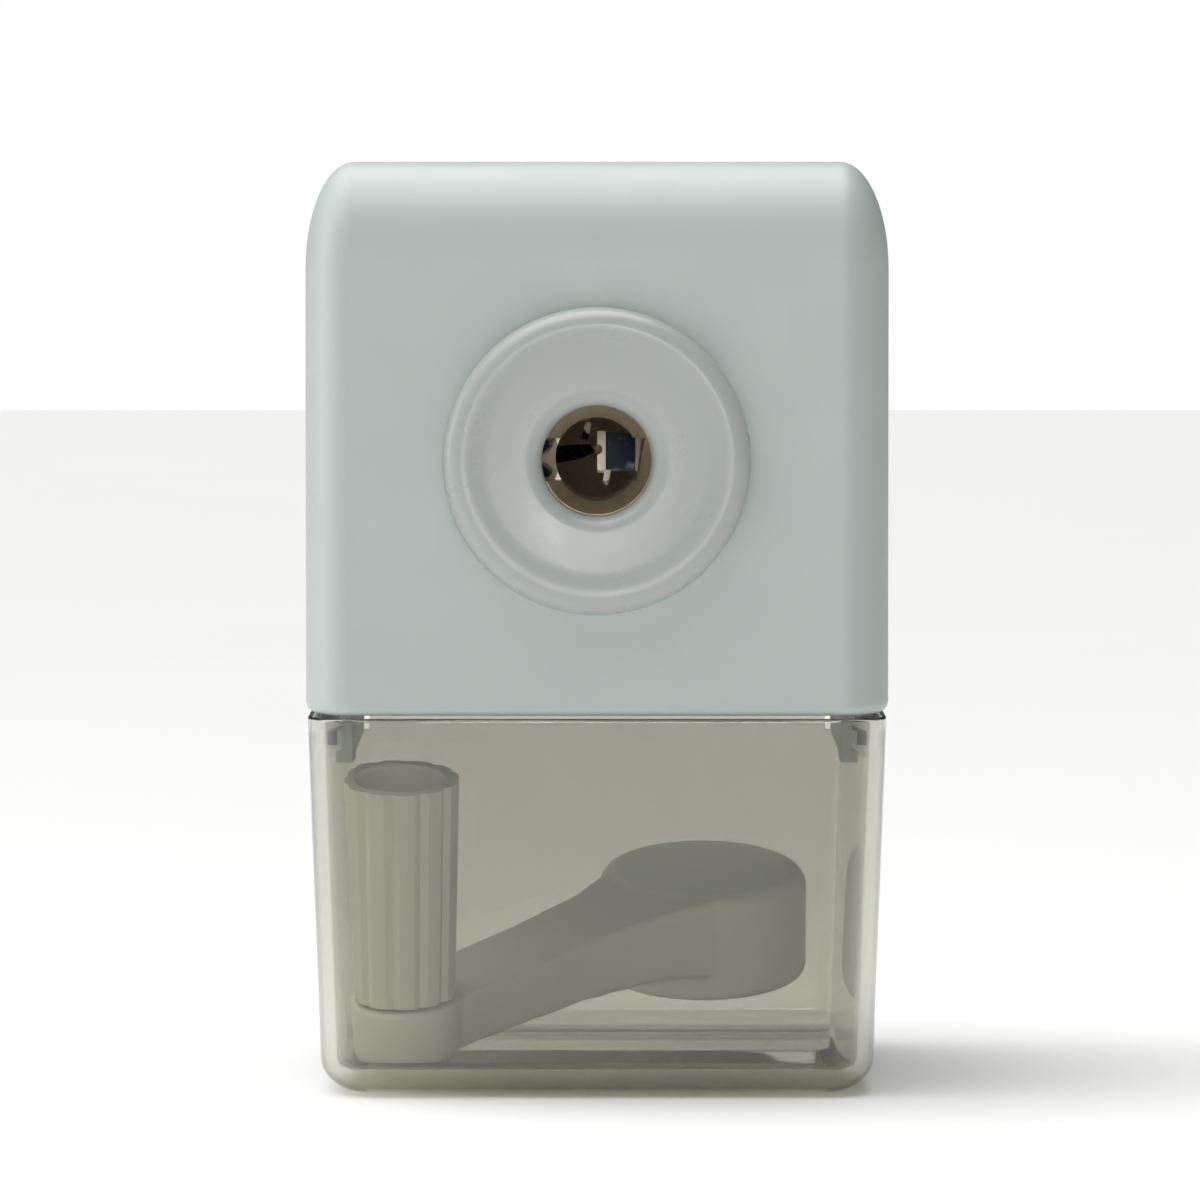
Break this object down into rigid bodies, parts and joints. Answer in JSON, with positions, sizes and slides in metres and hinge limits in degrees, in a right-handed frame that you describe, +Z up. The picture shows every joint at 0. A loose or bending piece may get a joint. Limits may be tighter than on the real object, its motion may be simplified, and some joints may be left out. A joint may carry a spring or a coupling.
{
  "type": "pencil sharpener",
  "caption": "Upright hand-crank pencil sharpener: white casing with a ringed pencil hole over a smoke-clear pull-out bin that holds its detached crank.",
  "frame": {"origin": "centre of the base, on the surface that the sharpener stands on", "axes": "+Z up; -Y out of the front, the way the pencil and the bin come out; +X to the right as seen from the front"},
  "size_m": [0.06, 0.084, 0.096],
  "materials": {
    "casing_white": "satin moulded ABS",
    "ring_white": "polished moulded ABS",
    "smoke_clear": "clear polystyrene with a brown-grey smoke tint",
    "crank_ivory": "satin moulded ABS",
    "frame_grey": "moulded acetal",
    "tan_zinc": "zinc die casting, tan lacquer",
    "bronze": "sintered bronze",
    "steel": "zinc-plated or bright steel",
    "dark_steel": "hardened, oil-blackened steel"
  },
  "bodies": {
    "housing": {"main_casing": "casing_white", "casing_bosses": "casing_white", "rear_cover": "casing_white", "rear_cover_screws": "steel", "entry_ring": "ring_white", "ring_retainer": "steel", "floor_plate": "casing_white", "floor_plate_screws": "steel", "gear_frame": "frame_grey", "ring_gear": "dark_steel", "frame_screws": "steel", "front_bearing_bush": "bronze", "rear_bearing_bush": "bronze"},
    "carrier": {"cutter_carrier": "tan_zinc", "drive_spindle": "steel", "spindle_cross_pin": "steel", "spindle_washer": "steel", "spindle_clip": "dark_steel", "cutter_axle": "steel", "axle_set_screw": "dark_steel", "point_stop": "dark_steel"},
    "cutter": {"helical_cutter": "dark_steel", "cutter_pinion": "dark_steel"},
    "bin": {"bin": "smoke_clear", "crank_arm": "crank_ivory", "crank_socket": "steel", "knob_pin": "steel", "knob_washer": "steel"},
    "knob": {"crank_knob": "crank_ivory"}
  },
  "joints": [
    {"name": "carrier_spin", "type": "hinge", "parent": "housing", "child": "carrier", "pos_m": [0, 0, 0.0655], "axis": [0, 1, 0], "continuous": true},
    {"name": "cutter_spin", "type": "hinge", "parent": "carrier", "child": "cutter", "pos_m": [-0.00411, 0, 0.0655], "axis": [0.1822, 0.9833, 0], "continuous": true},
    {"name": "bin_slide", "type": "slide", "parent": "housing", "child": "bin", "axis": [0, -1, 0], "range_m": [0, 0.07]},
    {"name": "knob_spin", "type": "hinge", "parent": "bin", "child": "knob", "pos_m": [-0.0204, -0.0203, 0.00345], "axis": [0, -0.2419, 0.9703], "continuous": true}
  ],
  "couplings": [
    {"joint": "cutter_spin", "follows": "carrier_spin", "ratio": -3.3333}
  ]
}
